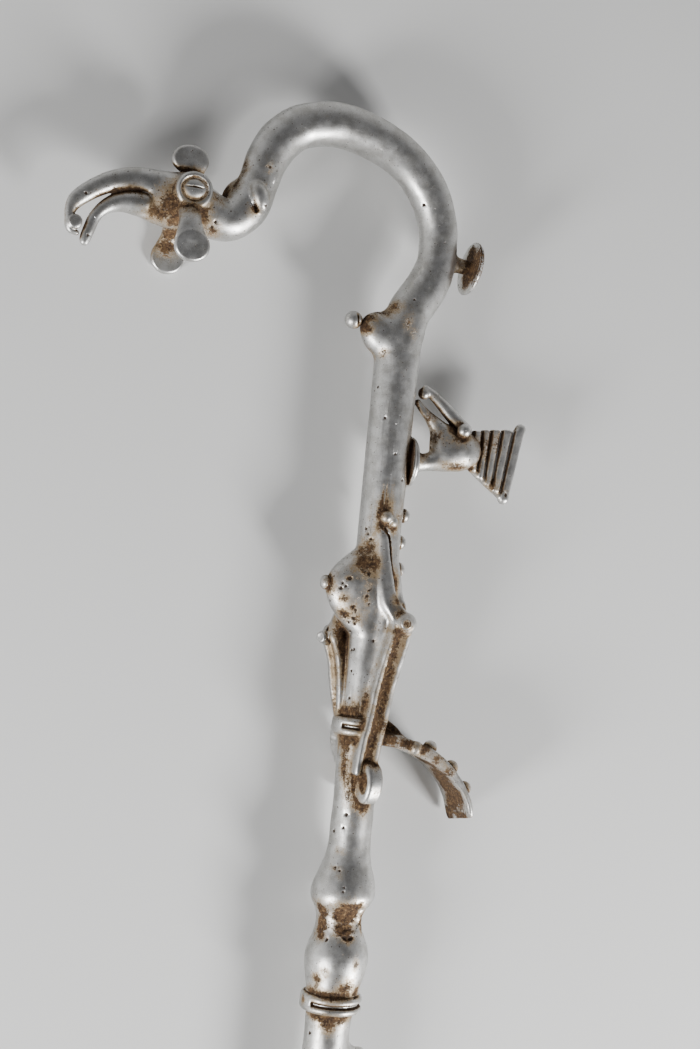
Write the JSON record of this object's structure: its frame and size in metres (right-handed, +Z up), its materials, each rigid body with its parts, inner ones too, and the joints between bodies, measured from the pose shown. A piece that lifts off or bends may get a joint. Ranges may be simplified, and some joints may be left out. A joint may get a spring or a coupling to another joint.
{
  "type": "ceremonial staff",
  "caption": "Cast metal staff whose crook is a long bird neck and beaked head, with a small perched bird, pointed belly, folded limbs and a studded strap tail on the shaft.",
  "frame": {"origin": "Centre of the bottom of the box around the lying staff, on the floor.", "axes": "+Y along the staff from the foot to the crook, +X towards the figure's back, +Z up. The staff lies on its far side."},
  "size_m": [0.25, 1.097, 0.0449],
  "materials": {
    "cast_metal": "worn satin casting, silver-coloured, with brown soil in the recesses"
  },
  "bodies": {
    "root": {"staff": "cast_metal"}
  },
  "joints": []
}
